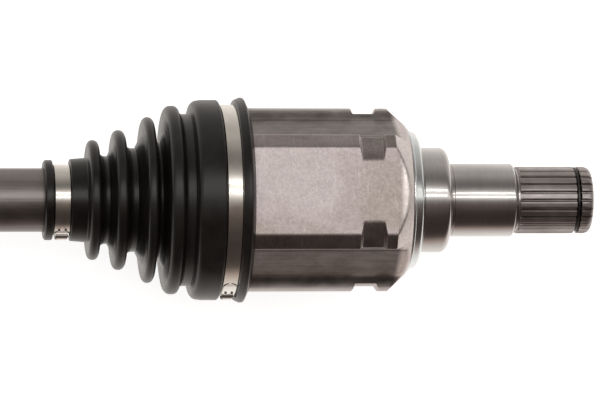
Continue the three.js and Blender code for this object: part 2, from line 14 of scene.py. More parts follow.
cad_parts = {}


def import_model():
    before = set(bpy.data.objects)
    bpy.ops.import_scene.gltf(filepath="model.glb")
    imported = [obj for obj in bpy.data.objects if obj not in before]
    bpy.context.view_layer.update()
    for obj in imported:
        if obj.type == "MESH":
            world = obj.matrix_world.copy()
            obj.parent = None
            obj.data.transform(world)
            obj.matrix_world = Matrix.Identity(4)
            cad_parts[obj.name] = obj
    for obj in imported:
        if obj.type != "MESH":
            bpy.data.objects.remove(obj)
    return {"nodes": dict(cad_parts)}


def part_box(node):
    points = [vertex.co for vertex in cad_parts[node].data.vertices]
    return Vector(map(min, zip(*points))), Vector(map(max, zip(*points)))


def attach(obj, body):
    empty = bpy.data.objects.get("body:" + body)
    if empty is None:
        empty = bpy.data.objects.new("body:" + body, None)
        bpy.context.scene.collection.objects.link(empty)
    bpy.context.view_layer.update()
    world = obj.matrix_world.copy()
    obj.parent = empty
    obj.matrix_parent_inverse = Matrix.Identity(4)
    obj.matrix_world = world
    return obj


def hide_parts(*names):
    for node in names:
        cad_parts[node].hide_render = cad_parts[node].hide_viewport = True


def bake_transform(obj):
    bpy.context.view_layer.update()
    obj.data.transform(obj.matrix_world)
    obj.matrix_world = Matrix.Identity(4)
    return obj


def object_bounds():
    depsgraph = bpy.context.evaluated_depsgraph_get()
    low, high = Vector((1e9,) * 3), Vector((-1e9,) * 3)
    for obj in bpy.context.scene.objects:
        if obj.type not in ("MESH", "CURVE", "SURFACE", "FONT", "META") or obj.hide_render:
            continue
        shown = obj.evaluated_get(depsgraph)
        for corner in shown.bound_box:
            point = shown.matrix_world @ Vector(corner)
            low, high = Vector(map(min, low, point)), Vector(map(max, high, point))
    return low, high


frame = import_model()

CAD_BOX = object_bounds()
MM = 0.001
TURN = 2 * math.pi
AXIS_R = 0.4  # a row of a solid that would close on the axis stops at this radius
BURIED_R = 9.0  # a spline or thread that starts inside the stub starts at this radius

# ---------------------------------------------------------------- places taken from the frame


def station(node, end):
    """The x of a CAD node's low (0) or high (1) end, in millimetres."""
    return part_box(node)[end].x / MM


MOUTH_X = station("inboard_housing", 0)
INNER_END = station("inboard_housing", 1)
OUTER_END = station("outboard_housing", 0)
BELL_MOUTH = station("outboard_housing", 1)
OUTER_X = (station("outboard_cage", 0) + station("outboard_cage", 1)) / 2

# ---------------------------------------------------------------- sizes of the inboard half

# The tripod housing has three flats, with a trough between each two, each cut to a distance from the axis.
# A trough's edge and the start of its fillet are angles from its middle.
SIDES = 3
BODY_R = 37.7
SEAT_R = 35.2
SEAT_END = 165.0
FLAT_DISTANCE = 33.2
TROUGH_DISTANCE = 31.9
TROUGH_EDGE = math.asin(13.85 / BODY_R)
TROUGH_FILLET = math.radians(14.5)
EDGE_SOFT = 0.38
NEAR_SQUARE = 0.2  # the least cosine that a distance is divided by
# Where the housing's material changes: a value of Nodes.lobes, and the machined cone's start in metres.
TROUGH_MASK = math.cos(SIDES * (math.pi / SIDES - TROUGH_EDGE))
CONE_X = 0.2275

TRUNNION_R = 21.0
TRACK_R = 16.1
TRACK_TOP = 27.5
TRACK_END = 214.0
BORE_R = 19.5
BORE_END = 216.0
TULIP_OUTLINE = [
    (MOUTH_X + 0.2, SEAT_R - 0.8), (MOUTH_X + 0.6, SEAT_R), (SEAT_END, SEAT_R), (SEAT_END, BODY_R, 0.3),
    (210.1, BODY_R, 0.35), (211.1, 35.5, 0.5), (219.8, 35.5, 0.5), (220.8, BODY_R, 0.35),
    (225.0, BODY_R, 0.7), (232.2, 31.0, 0.5), (232.2, AXIS_R),
]
# The hollow, from the mouth inwards: x, how far the mouth's chamfer opens it, and the centre bore's radius.
TULIP_HOLLOW = [
    (MOUTH_X + 0.2, 0.8, 23.0), (MOUTH_X + 1.0, 0, 22.8), (MOUTH_X + 7, 0, 21.2), (MOUTH_X + 14, 0, BORE_R),
    (TRACK_END, 0, BORE_R),
]
NECK_OUTLINE = [
    (231.8, 0), (231.8, 21.2), (236.9, 21.2, 0.2), (237.3, 20.9, 0.2), (238.0, 20.9, 0.2), (238.5, 21.6, 0.3),
    (249.8, 21.6, 2.9), (249.8, 15.7, 0.6), (251.0, 14.7, 0.3), (251.6, 14.7, 0.2), (252.0, 15.05, 0.2),
    (277.0, 15.05, 0.9), (278.2, 13.6, 0.3), (278.4, 13.0, 0.3), (279.2, 13.0), (279.2, 0),
]
INNER_SPLINE = {
    "teeth": 24, "tip": 13.77, "root": 12.55, "start": 279.0, "end": INNER_END, "lead": 0.3, "runout": 2.0,
    "groove": (302.8, 304.9), "groove_r": 12.0, "chamfer": 2.8, "end_r": 11.6, "centre_r": 4.4,
    "centre_depth": 7,
}

# ---------------------------------------------------------------- sizes of the outboard half and the bar

OUTER_SPLINE = {
    "teeth": 26, "tip": 14.0, "root": 12.6, "start": OUTER_X - 46.5, "end": OUTER_X - 86, "lead": 1.4,
    "runout": 3.4, "groove": None, "groove_r": 0, "chamfer": 1.6, "end_r": 12.2, "centre_r": 0,
    "centre_depth": 0,
}
THREAD = {
    "start": OUTER_X - 88.0, "end": OUTER_END, "tip": 11.95, "root": 10.95, "pitch": 1.5, "neck_r": 10.9,
    "fade": 2.0, "chamfer": 1.6,
}

BALLS = 6
BALL_PITCH_R = 26.0
SOCKET_R = 30.3
GROOVE_R = 9.1
GROOVE_REACH = 17.4  # along the axis, to each side of the balls' centres

BAR_R = 12.96
BAR_OUTLINE = [
    (-206, 0), (-206, 11.4, 0.5), (-204.8, 12.6), (-178, 12.6), (-178, 12.0), (-166, 12.0), (-160, BAR_R, 4),
    (-109, BAR_R, 0.5), (-107.5, 11.6, 0.4), (-98.5, 11.6, 0.4), (-97, BAR_R, 0.5),
    (85, BAR_R, 0.5), (86.5, 11.6, 0.4), (94.5, 11.6, 0.4), (96, BAR_R, 0.5),
    (132, BAR_R, 4), (138, 11.5), (171, 11.5), (171, 11.3), (195.8, 11.3), (197, 10.1), (197, 0),
]

# ---------------------------------------------------------------- sizes of the boots

# A boot's values run from its small end to its large one: stations along X and then radii.
# Each of its folds is (rib x, rib r, valley x, valley r), and half_widths are the ribs' own.
INBOARD_BOOT = {
    "lip": (83.8, 87.7, 16.4), "seat": (94.5, 13.7), "neck": (100.2, 16.7, 17.3),
    "folds": [(103.9, 24.5, 108.7, 17.9), (114.4, 28.6, 120.2, 21.2), (126.3, 33.95, 130.6, 23.7),
              (135.7, 38.6, 142.6, 35.2)],
    "half_widths": [2.05, 2.3, 2.05, 2.65], "body": (144.2, 41.05), "band": (155.4, 161.8, 38.3),
    "rim": (165.2, 42.05), "end": (166.9, 38.4), "mouth": MOUTH_X, "mouth_r": 29, "bore": 34.0,
}
OUTBOARD_BOOT = {
    "lip": (-96, -99.9, 16.4), "seat": (-106.7, 13.7), "neck": (-112.6, 16.7, 17.3),
    "folds": [(-116.6, 23.0, -121.4, 17.4), (-126.6, 26.5, -132.0, 19.6), (-137.6, 30.4, -143.0, 22.2),
              (-148.8, 34.4, -154.0, 25.4), (-159.6, 38.2, -165.2, 31.6)],
    "half_widths": [2.05, 2.3, 2.05, 2.3, 2.45], "body": (-169.3, 41.2), "band": (-180.5, -186.9, 40.7),
    "rim": (-188.8, 42.6), "end": (-190.5, 41.0), "mouth": BELL_MOUTH, "mouth_r": 35, "bore": 39.9,
}
BOOT_BORE = 13.3  # round the bar
GROOVE_BORE = 11.9  # in the bar's groove
RUBBER = 2.0  # wall thickness
FLANK_LEAN = 0.55  # how far a rib's side spreads, from its crest to the valley
VALLEY_ROUND = 2.6

# ---------------------------------------------------------------- outlines


def rounded(outline, steps=5):
    """The outline as (x, r) points, with an arc at each corner that gives a radius as its third value."""
    points = [Vector(p[:2]) for p in outline]
    result = []
    for i, corner in enumerate(outline):
        here = points[i]
        if len(corner) < 3 or i in (0, len(outline) - 1):
            result.append(here)
            continue
        before = points[i - 1] - here
        after = points[i + 1] - here
        half = before.angle(after) / 2
        reach = min(corner[2] / max(math.tan(half), 1e-3), 0.49 * before.length, 0.49 * after.length)
        a = here + before.normalized() * reach
        b = here + after.normalized() * reach
        pull = 2 * math.sin(half)
        for k in range(steps + 1):
            t = k / steps
            shares = ((1 - t) ** 2, pull * t * (1 - t), t**2)
            result.append((a * shares[0] + here * shares[1] + b * shares[2]) / sum(shares))
    return [(p.x, p.y) for p in result]


def stations(outline, spacing):
    """The outline with points added so that no step along it is longer than spacing."""
    result = [outline[0]]
    for (x0, r0), (x1, r1) in zip(outline, outline[1:]):
        count = max(1, math.ceil(math.hypot(x1 - x0, r1 - r0) / spacing))
        result += [(x0 + (x1 - x0) * k / count, r0 + (r1 - r0) * k / count) for k in range(1, count + 1)]
    return result


# ---------------------------------------------------------------- mesh building


def around(x, r, phi):
    """One row of points at stations x, radii r and angles phi. Any of the three can be a single number."""
    x, r, phi = np.broadcast_arrays(x, r, phi)
    return np.stack([x, -r * np.sin(phi), r * np.cos(phi)], axis=1)


def angles(segments):
    return np.arange(segments) * TURN / segments


def rings(outline, segments, radius=None):
    """Rows of points round the axle, one for each outline point. radius(x, r, phi) reshapes a row."""
    phi = angles(segments)
    return np.array([around(x, r if radius is None else radius(x, r, phi), phi) for x, r in outline])


def skin(rows, closed=False):
    """Vertices and faces of rows of points. A closed skin joins its last row to its first."""
    count, segments, _ = rows.shape
    verts = rows.reshape(-1, 3)
    faces = []
    pairs = [(i, i + 1) for i in range(count - 1)]
    if closed:
        pairs.append((count - 1, 0))
    j = np.arange(segments)
    k = (j + 1) % segments
    for a, b in pairs:
        corners = [a * segments + j, b * segments + j, b * segments + k, a * segments + k]
        faces += np.stack(corners, axis=1).tolist()
    if not closed:
        faces.append([int(v) for v in j])
        faces.append([int(v) for v in (count - 1) * segments + j[::-1]])
    return verts, faces


def turned(outline, segments=160, steps=5, spacing=None):
    """A solid of revolution about the axle. An outline that starts at r = 0 is given a small flat there."""
    points = rounded(outline, steps)
    if spacing:
        points = stations(points, spacing)
    points = [(x, max(r, AXIS_R)) for x, r in points]
    return skin(rings(points, segments))


def ring_solid(outline, segments=160, steps=5):
    """A hoop: the outline closes on itself and stays off the axis."""
    points = rounded([*outline, outline[0], outline[1]], steps)[1:-1]
    return skin(rings(points, segments), closed=True)


def combine(*shells):
    """Several shells as one list of vertices and one of faces."""
    verts = []
    faces = []
    for shell_verts, shell_faces in shells:
        offset = len(verts)
        verts += [tuple(v) for v in shell_verts]
        faces += [[offset + i for i in face] for face in shell_faces]
    return verts, faces


def piece(name, shells, material, body=None, replaces=(), crease=38):
    """An object from shells given in millimetres, with its finish and the CAD body that it moves with."""
    verts, faces = combine(*shells)
    mesh = bpy.data.meshes.new(name)
    mesh.from_pydata([(x * MM, y * MM, z * MM) for x, y, z in verts], [], faces)
    mesh.validate()
    obj = bpy.data.objects.new(name, mesh)
    bpy.context.scene.collection.objects.link(obj)
    face_out(obj)
    mesh.shade_smooth()
    mesh.set_sharp_from_angle(angle=math.radians(crease))
    mesh.materials.append(material)
    if replaces:
        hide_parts(*replaces)
    if body:
        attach(obj, body)
    return obj


def face_out(obj):
    """Turns every face of each closed shell outwards."""
    bm = bmesh.new()
    bm.from_mesh(obj.data)
    bmesh.ops.recalc_face_normals(bm, faces=bm.faces)
    bm.to_mesh(obj.data)
    bm.free()


# ---------------------------------------------------------------- material building


class Nodes:
    """A material's node tree, with short calls for the nodes that the finishes share."""

    def __init__(self, name):
        self.material = bpy.data.materials.new(name)
        self.material.use_nodes = True
        self.tree = self.material.node_tree
        self.shader = self.tree.nodes["Principled BSDF"]
        self.coordinates = self.add("ShaderNodeTexCoord").outputs
        self.place = self.coordinates["Object"]

    def add(self, kind, **values):
        node = self.tree.nodes.new(kind)
        for key, value in values.items():
            setattr(node, key, value)
        return node

    def link(self, a, b):
        self.tree.links.new(a, b)

    def scaled(self, scale):
        """The place on the object, in metres, multiplied by scale along each axis."""
        mapping = self.add("ShaderNodeMapping")
        mapping.inputs["Scale"].default_value = scale
        self.link(self.place, mapping.inputs["Vector"])
        return mapping.outputs["Vector"]

    def noise(self, scale, detail=4.0, roughness=0.55, distortion=0.0):
        node = self.add("ShaderNodeTexNoise")
        node.inputs["Scale"].default_value = 1.0
        node.inputs["Detail"].default_value = detail
        node.inputs["Roughness"].default_value = roughness
        node.inputs["Distortion"].default_value = distortion
        self.link(self.scaled(scale), node.inputs["Vector"])
        return node.outputs["Fac"]

    def ramp(self, value, stops):
        node = self.add("ShaderNodeValToRGB")
        ramp = node.color_ramp
        while len(ramp.elements) < len(stops):
            ramp.elements.new(0.5)
        for element, (position, colour) in zip(ramp.elements, stops):
            element.position = position
            element.color = (*colour, 1) if len(colour) == 3 else colour
        self.link(value, node.inputs["Fac"])
        return node.outputs["Color"]

    def remap(self, value, low, high, from_low=0.3, from_high=0.7):
        node = self.add("ShaderNodeMapRange")
        node.inputs["From Min"].default_value = from_low
        node.inputs["From Max"].default_value = from_high
        node.inputs["To Min"].default_value = low
        node.inputs["To Max"].default_value = high
        self.link(value, node.inputs["Value"])
        return node.outputs["Result"]

    def mix(self, a, b, factor, blend="MIX"):
        node = self.add("ShaderNodeMix", data_type="RGBA", blend_type=blend)
        for socket, value in ((6, a), (7, b), (0, factor)):
            if isinstance(value, bpy.types.NodeSocket):
                self.link(value, node.inputs[socket])
            else:
                node.inputs[socket].default_value = (*value, 1) if isinstance(value, tuple) else value
        return node.outputs[2]

    def math(self, operation, a, b=None):
        node = self.add("ShaderNodeMath", operation=operation)
        for socket, value in ((0, a), (1, b)):
            if isinstance(value, bpy.types.NodeSocket):
                self.link(value, node.inputs[socket])
            elif value is not None:
                node.inputs[socket].default_value = value
        return node.outputs[0]

    def bump(self, height, strength, distance, below=None):
        node = self.add("ShaderNodeBump")
        node.inputs["Strength"].default_value = strength
        node.inputs["Distance"].default_value = distance
        self.link(height, node.inputs["Height"])
        if below is not None:
            self.link(below, node.inputs["Normal"])
        return node.outputs["Normal"]

    def part(self, coordinate, axis):
        """One axis of the object's place or of its own normal."""
        split = self.add("ShaderNodeSeparateXYZ")
        self.link(self.coordinates[coordinate], split.inputs[0])
        return split.outputs[axis]

    def lobes(self, count):
        """1 at +Z and at each equal turn from it about the axle, and -1 halfway between them."""
        angle = self.math("ARCTAN2", self.part("Object", "Y"), self.part("Object", "Z"))
        return self.math("COSINE", self.math("MULTIPLY", angle, count))

    def from_axle(self):
        """The distance from the axle's centreline, in metres."""
        across = self.add("ShaderNodeCombineXYZ")
        self.link(self.part("Object", "Y"), across.inputs["Y"])
        self.link(self.part("Object", "Z"), across.inputs["Z"])
        length = self.add("ShaderNodeVectorMath", operation="LENGTH")
        self.link(across.outputs[0], length.inputs[0])
        return length.outputs["Value"]

    def edges(self, low, high):
        """0 on faces and hollows, 1 on sharp outer edges. The finishes paint highlights on edges with it, and
        shade in hollows with it turned round.
        """
        pointiness = self.add("ShaderNodeNewGeometry").outputs["Pointiness"]
        return self.remap(pointiness, 0.0, 1.0, low, high)

    def finish(self, colour=None, roughness=None, normal=None, metallic=1.0):
        self.shader.inputs["Metallic"].default_value = metallic
        for socket, value in (("Base Color", colour), ("Roughness", roughness), ("Normal", normal)):
            if isinstance(value, bpy.types.NodeSocket):
                self.link(value, self.shader.inputs[socket])
            elif value is not None:
                self.shader.inputs[socket].default_value = value
        return self.material


def turned_steel(name, dark, light, roughness, rings_per_m, mark_depth, stain=0.35):
    """Steel off a lathe or grinder: fine rings round the axle, faint stains and a painted highlight on sharp
    edges.
    """
    n = Nodes(name)
    marks = n.noise((rings_per_m, 6, 6), detail=3.0, roughness=0.7)
    fine = n.noise((rings_per_m * 4.7, 25, 25), detail=2.0)
    cloud = n.noise((38, 38, 38), detail=5.0, roughness=0.6)
    base = n.ramp(cloud, [(0.32, dark), (0.68, light)])
    base = n.mix(base, n.ramp(marks, [(0.35, dark), (0.65, light)]), stain)
    # Painted highlight: sharp outer edges are lightened.
    base = n.mix(base, tuple(min(1, c * 1.25) for c in light), n.edges(0.52, 0.6))
    rough = n.remap(marks, roughness - 0.06, roughness + 0.08)
    normal = n.bump(fine, 0.25, mark_depth, n.bump(marks, 0.35, mark_depth))
    return n.finish(base, rough, normal)


def forged_steel():
    """The tripod housing: pink-grey worked faces, dark forge scale in the troughs with painted shade over it,
    a cream machined cone and painted highlights on its edges.
    """
    n = Nodes("forged_steel")
    patch = n.noise((24, 34, 34), detail=3.0, roughness=0.5, distortion=0.8)
    blotch = n.noise((95, 120, 120), detail=6.0, roughness=0.66, distortion=0.4)
    grain = n.noise((1100, 1100, 1100), detail=3.0, roughness=0.6)
    drawn = n.noise((30, 900, 900), detail=3.0, roughness=0.65)
    rub = n.noise((520, 90, 90), detail=2.0, roughness=0.5, distortion=1.2)
    browns = [(0.38, (0.40, 0.345, 0.315)), (0.50, (0.47, 0.405, 0.40)), (0.62, (0.56, 0.50, 0.50))]
    base = n.ramp(patch, browns)
    tone = n.ramp(blotch, [(0.38, (0.72, 0.71, 0.71)), (0.50, (0.93, 0.93, 0.93)), (0.62, (1.0, 1.0, 1.0))])
    base = n.mix(base, tone, 0.85, "MULTIPLY")
    base = n.mix(base, n.ramp(grain, [(0.40, (0.27, 0.24, 0.235)), (0.60, (0.64, 0.58, 0.57))]), 0.22)
    base = n.mix(base, (0.70, 0.66, 0.645), n.remap(rub, 0.0, 0.40, 0.62, 0.72))
    # Real forge scale in the troughs, painted darker still as shade.
    scale = n.ramp(blotch, [(0.38, (0.21, 0.19, 0.18)), (0.62, (0.38, 0.35, 0.34))])
    scale = n.mix(scale, n.ramp(drawn, [(0.35, (0.18, 0.16, 0.155)), (0.65, (0.40, 0.37, 0.36))]), 0.3)
    in_trough = n.remap(n.lobes(SIDES), 1.0, 0.0, TROUGH_MASK - 0.02, TROUGH_MASK + 0.02)
    base = n.mix(base, scale, in_trough)
    on_cone = n.remap(n.part("Normal", "X"), 0.0, 1.0, 0.30, 0.42)
    past_cone_start = n.remap(n.part("Object", "X"), 0.0, 1.0, CONE_X - 0.001, CONE_X + 0.001)
    on_cone = n.math("MAXIMUM", on_cone, past_cone_start)
    base = n.mix(base, n.ramp(grain, [(0.35, (0.76, 0.69, 0.67)), (0.65, (0.95, 0.88, 0.86))]), on_cone)
    # Painted highlight: sharp outer edges are lightened.
    base = n.mix(base, (0.78, 0.73, 0.71), n.math("MULTIPLY", n.edges(0.515, 0.56), 0.85))
    rough = n.remap(blotch, 0.30, 0.40)
    rough = n.math("ADD", rough, n.math("MULTIPLY", in_trough, 0.10))
    normal = n.bump(grain, 0.14, 0.00006, n.bump(drawn, 0.10, 0.00005, n.bump(blotch, 0.22, 0.0004)))
    return n.finish(base, rough, normal)


def spline_steel():
    """Rolled teeth: brown-grey, with painted shade in the roots and in the clip groove and a painted
    highlight along the tips.
    """
    n = Nodes("spline_steel")
    grain = n.noise((300, 900, 900), detail=4.0)
    cloud = n.noise((90, 90, 90), detail=4.0)
    base = n.ramp(cloud, [(0.3, (0.37, 0.33, 0.32)), (0.7, (0.56, 0.515, 0.50))])
    # Painted shade in the roots between the teeth.
    root_shade = n.edges(0.50, 0.42)
    base = n.mix(base, (0.17, 0.145, 0.135), root_shade)
    # Painted highlight along the tips.
    base = n.mix(base, (0.62, 0.59, 0.57), n.edges(0.53, 0.60))
    # Painted shade: near black closer than about 12.3 mm to the axle, as in the clip groove.
    base = n.mix(base, (0.02, 0.018, 0.017), n.remap(n.from_axle(), 1.0, 0.0, 0.0122, 0.0125))
    normal = n.bump(grain, 0.2, 0.00005)
    return n.finish(base, n.remap(grain, 0.34, 0.46), normal)


def bar_steel():
    """The bar: dark brown-grey phosphate over long rolling marks."""
    n = Nodes("bar_steel")
    along = n.noise((9, 700, 700), detail=4.0, roughness=0.6)
    cloud = n.noise((30, 60, 60), detail=6.0, roughness=0.65, distortion=0.4)
    speck = n.noise((1600, 1600, 1600), detail=2.0)
    base = n.ramp(cloud, [(0.36, (0.23, 0.205, 0.195)), (0.64, (0.37, 0.34, 0.325))])
    base = n.mix(base, n.ramp(along, [(0.38, (0.20, 0.18, 0.175)), (0.62, (0.44, 0.405, 0.39))]), 0.35)
    normal = n.bump(speck, 0.15, 0.00004, n.bump(along, 0.15, 0.00006))
    return n.finish(base, n.remap(cloud, 0.34, 0.46), normal)


def zinc_plate():
    n = Nodes("zinc_plate")
    spangle = n.noise((150, 150, 150), detail=4.0, roughness=0.6)
    marks = n.noise((2500, 20, 20), detail=2.0)
    base = n.ramp(spangle, [(0.3, (0.78, 0.83, 0.85)), (0.7, (0.91, 0.94, 0.95))])
    # Painted highlight: sharp outer edges are lightened.
    base = n.mix(base, (0.84, 0.88, 0.89), n.edges(0.53, 0.62))
    return n.finish(base, n.remap(spangle, 0.13, 0.20), n.bump(marks, 0.08, 0.00003))


def clamp_steel():
    """Stainless band: bright, with fine rolling lines that follow the band."""
    n = Nodes("clamp_steel")
    lines = n.noise((1900, 12, 12), detail=3.0, roughness=0.6)
    smudge = n.noise((110, 110, 110), detail=4.0)
    base = n.ramp(smudge, [(0.3, (0.79, 0.75, 0.69)), (0.7, (0.93, 0.895, 0.835))])
    # Painted highlight: sharp outer edges are lightened.
    base = n.mix(base, (0.94, 0.93, 0.91), n.edges(0.52, 0.6))
    return n.finish(base, n.remap(smudge, 0.14, 0.22), n.bump(lines, 0.16, 0.00003))


def spring_steel():
    n = Nodes("spring_steel")
    cloud = n.noise((400, 400, 400), detail=4.0)
    base = n.ramp(cloud, [(0.3, (0.06, 0.058, 0.056)), (0.7, (0.13, 0.125, 0.12))])
    # Painted highlight: sharp outer edges are lightened.
    base = n.mix(base, (0.25, 0.24, 0.23), n.edges(0.54, 0.66))
    return n.finish(base, n.remap(cloud, 0.28, 0.42), n.bump(cloud, 0.2, 0.00005))


def boot_rubber():
    """Moulded rubber: near black, faintly grey in random patches, with a painted highlight on its crests and
    a fine orange-peel skin.
    """
    n = Nodes("boot_rubber")
    peel = n.noise((1300, 1300, 1300), detail=3.0, roughness=0.5)
    bloom = n.noise((60, 60, 60), detail=6.0, roughness=0.65, distortion=0.5)
    rings_noise = n.noise((1400, 14, 14), detail=2.0)
    base = n.ramp(bloom, [(0.32, (0.0065, 0.0056, 0.0050)), (0.70, (0.021, 0.0185, 0.0168))])
    # Painted highlight: sharp crests are lightened to grey.
    base = n.mix(base, (0.045, 0.043, 0.041), n.math("MULTIPLY", n.edges(0.52, 0.60), 0.5))
    normal = n.bump(peel, 0.18, 0.00008, n.bump(rings_noise, 0.10, 0.00008))
    material = n.finish(base, n.remap(bloom, 0.26, 0.38), normal, metallic=0.0)
    n.shader.inputs["Specular IOR Level"].default_value = 0.55
    return material


FINISH = {
    "forged_steel": forged_steel(),
    "ground_steel": turned_steel("ground_steel", (0.56, 0.54, 0.525), (0.78, 0.765, 0.75), 0.14, 3200, 2e-5),
    "cone_steel": turned_steel("cone_steel", (0.62, 0.58, 0.56), (0.78, 0.75, 0.73), 0.34, 1500, 0.00006),
    "hardened_steel": turned_steel("hardened_steel", (0.5, 0.5, 0.51), (0.66, 0.66, 0.67), 0.18, 2600, 2e-5),
    "nut_steel": turned_steel("nut_steel", (0.50, 0.47, 0.36), (0.70, 0.66, 0.52), 0.30, 900, 0.00005),
    "spline_steel": spline_steel(),
    "bar_steel": bar_steel(),
    "zinc_plate": zinc_plate(),
    "clamp_steel": clamp_steel(),
    "spring_steel": spring_steel(),
    "boot_rubber": boot_rubber(),
}

# ---------------------------------------------------------------- inboard housing


def softer_min(a, b, soft):
    """The smaller of two values, with the crease between them rounded over about soft."""
    h = np.clip(0.5 + 0.5 * (b - a) / soft, 0, 1)
    return b * (1 - h) + a * h - soft * h * (1 - h)


def angle_from(phi, centre):
    """The signed angle from centre to phi, within half a turn."""
    return (phi - centre + math.pi) % TURN - math.pi


def tulip_radius(x, r, phi):
    """The housing's radius where its turned outline is r: cut by three flats and three filleted troughs."""
    radius = np.full(phi.shape, float(r))
    past_body = BODY_R + 0.6
    past_edge = 60  # the wall's further rise for each radian beyond the trough's edge
    for side in range(SIDES):
        from_flat = np.abs(angle_from(phi, side * TURN / SIDES))
        flat = FLAT_DISTANCE / np.maximum(np.cos(from_flat), NEAR_SQUARE)
        radius = softer_min(radius, flat, EDGE_SOFT)
        from_trough = np.abs(angle_from(phi, (side + 0.5) * TURN / SIDES))
        rise = np.clip((from_trough - TROUGH_FILLET) / (TROUGH_EDGE - TROUGH_FILLET), 0, 1)
        floor = TROUGH_DISTANCE / np.maximum(np.cos(np.minimum(from_trough, TROUGH_FILLET)), NEAR_SQUARE)
        wall = floor + (past_body - floor) * (1 - np.sqrt(1 - rise**2))
        wall += past_edge * np.clip(from_trough - TROUGH_EDGE, 0, 1)
        radius = softer_min(radius, wall, EDGE_SOFT)
    return radius


def track_radius(opening, bore_r, phi):
    """The hollow's radius: a centre bore and three flat-topped roller tracks."""
    radius = np.full(phi.shape, float(bore_r))
    for side in range(SIDES):
        off = np.abs(angle_from(phi, side * TURN / SIDES))
        reach = np.maximum(TRACK_R**2 - (TRUNNION_R * np.sin(off)) ** 2, 0)
        wall = np.where(off < math.asin(TRACK_R / TRUNNION_R), TRUNNION_R * np.cos(off) + np.sqrt(reach), 0)
        top = TRACK_TOP / np.maximum(np.cos(off), NEAR_SQUARE)
        radius = np.maximum(radius, np.minimum(wall, top))
    return radius + opening


def spline_rows(s, segments_per_tooth=16, end_steps=6):
    """A splined length: teeth that run out at the inner end, a clip groove and a rounded free end."""
    towards = math.copysign(1, s["end"] - s["start"])
    length = abs(s["end"] - s["start"])
    rounding = length - s["chamfer"]
    steps = [0, 0.02, s["lead"] * 0.5, s["lead"]]
    steps += [s["lead"] + s["runout"] * k / 6 for k in range(1, 7)]
    steps = [(along, False) for along in steps]
    if s["groove"]:
        low, high = (abs(g - s["start"]) for g in s["groove"])
        steps += [(low - 0.25, False), (low, False), (low, True)]
        steps += [(high, True), (high, False), (high + 0.25, False)]
    steps.append((rounding - 0.3, False))
    for k in range(end_steps + 1):
        steps.append((length - s["chamfer"] * (1 - math.sin(TURN / 4 * k / end_steps)), False))
    floor_share = 0.12  # of the teeth's pitch, at the bottom of each space
    flank_share = 0.30  # of the pitch, for a space's two sides together
    phi = angles(s["teeth"] * segments_per_tooth)
    wave = np.abs((phi * s["teeth"] / TURN) % 1 - 0.5) * 2
    tooth = np.clip((wave - floor_share) / flank_share, 0, 1)
    tooth = tooth * tooth * (3 - 2 * tooth)
    rows = []
    for along, in_groove in steps:
        depth = np.clip((along - s["lead"]) / s["runout"], 0, 1)
        depth = math.sqrt(1 - (1 - depth) ** 2)
        r = s["tip"] - (s["tip"] - s["root"]) * depth * (1 - tooth)
        envelope = s["tip"]
        if along < s["lead"]:
            envelope = s["tip"] - 0.9 * (1 - along / s["lead"])
        if along > rounding:
            share = (along - rounding) / s["chamfer"]
            envelope = s["tip"] - (s["tip"] - s["end_r"]) * (1 - math.sqrt(max(0, 1 - share**2)))
        if in_groove:
            envelope = s["groove_r"]
        rows.append(around(s["start"] + towards * along, np.minimum(r, envelope), phi))
    return np.array(rows)


def splined_end(s):
    """A splined length as a solid, with a centre drilling in its free end if it has one."""
    rows = spline_rows(s)
    segments = rows.shape[1]
    parts = [rings([(s["start"], BURIED_R)], segments), rows]
    if s["centre_r"]:
        towards = math.copysign(1, s["end"] - s["start"])
        x = s["end"]
        drilling = [
            (x, s["centre_r"] + 3), (x, s["centre_r"]), (x - towards * 2.2, s["centre_r"] - 1.6),
            (x - towards * s["centre_depth"], 1.4), (x - towards * (s["centre_depth"] + 0.8), AXIS_R),
        ]
        parts.append(rings(drilling, segments))
    return skin(np.concatenate(parts))


def hollow_row(x, opening, bore_r, segments):
    """One row of points round the inside of the tripod housing."""
    return rings([(x, bore_r)], segments, lambda _, r, phi: track_radius(opening, r, phi))


def inboard_housing():
    """The tripod housing: turned outside, cut by flats and troughs, and hollow with three roller tracks."""
    segments = 720
    tulip = stations(rounded(TULIP_OUTLINE), 1.2)
    outside = rings(tulip, segments, tulip_radius)
    hollow = [hollow_row(*row, segments) for row in TULIP_HOLLOW]
    face = [outside[0] * (1 - t) + hollow[0][0] * t for t in (0.1, 0.3, 0.7, 0.9)]
    floor_rows = rings([(TRACK_END, BORE_R), (BORE_END, BORE_R), (BORE_END, AXIS_R)], segments)
    body = skin(np.concatenate([outside[::-1], face, *hollow, floor_rows]))
    piece("inboard_housing_body", [body], FINISH["forged_steel"], "inboard_joint_body",
          ["inboard_housing"], crease=50)


def inboard_stub():
    """The housing's stub: a collar and an oil-seal journal, and then the spline."""
    piece("inboard_stub_neck", [turned(NECK_OUTLINE, 192)], FINISH["ground_steel"],
          "inboard_joint_body", ["inboard_housing"])
    piece("inboard_stub_spline", [splined_end(INNER_SPLINE)], FINISH["spline_steel"],
          "inboard_joint_body", ["inboard_housing"])


def wire_ring(x, centre_r, wire_r, gap_degrees, middle=math.pi / 2):
    """A round wire bent into an open ring, its gap centred on the angle middle, with rounded ends."""
    gap = math.radians(gap_degrees) / 2
    theta = angles(14)
    ends = [0.15, 0.6, 0.85]
    full_rows = 114
    shares = [*ends, *([1.0] * full_rows), *ends[::-1]]
    rows = []
    for i, share in enumerate(shares):
        phi = middle + gap + (TURN - 2 * gap) * i / (len(shares) - 1)
        r = wire_r * share
        rows.append(around(x + r * np.sin(theta), centre_r + r * np.cos(theta), phi))
    return skin(np.array(rows))


def stub_circlip():
    low, high = INNER_SPLINE["groove"]
    x = (low + high) / 2 - 0.1
    piece("inboard_stub_wire_ring", [wire_ring(x, 13.1, 0.55, 20)], FINISH["spring_steel"],
          "inboard_joint_body", ["inboard_stub_circlip"])


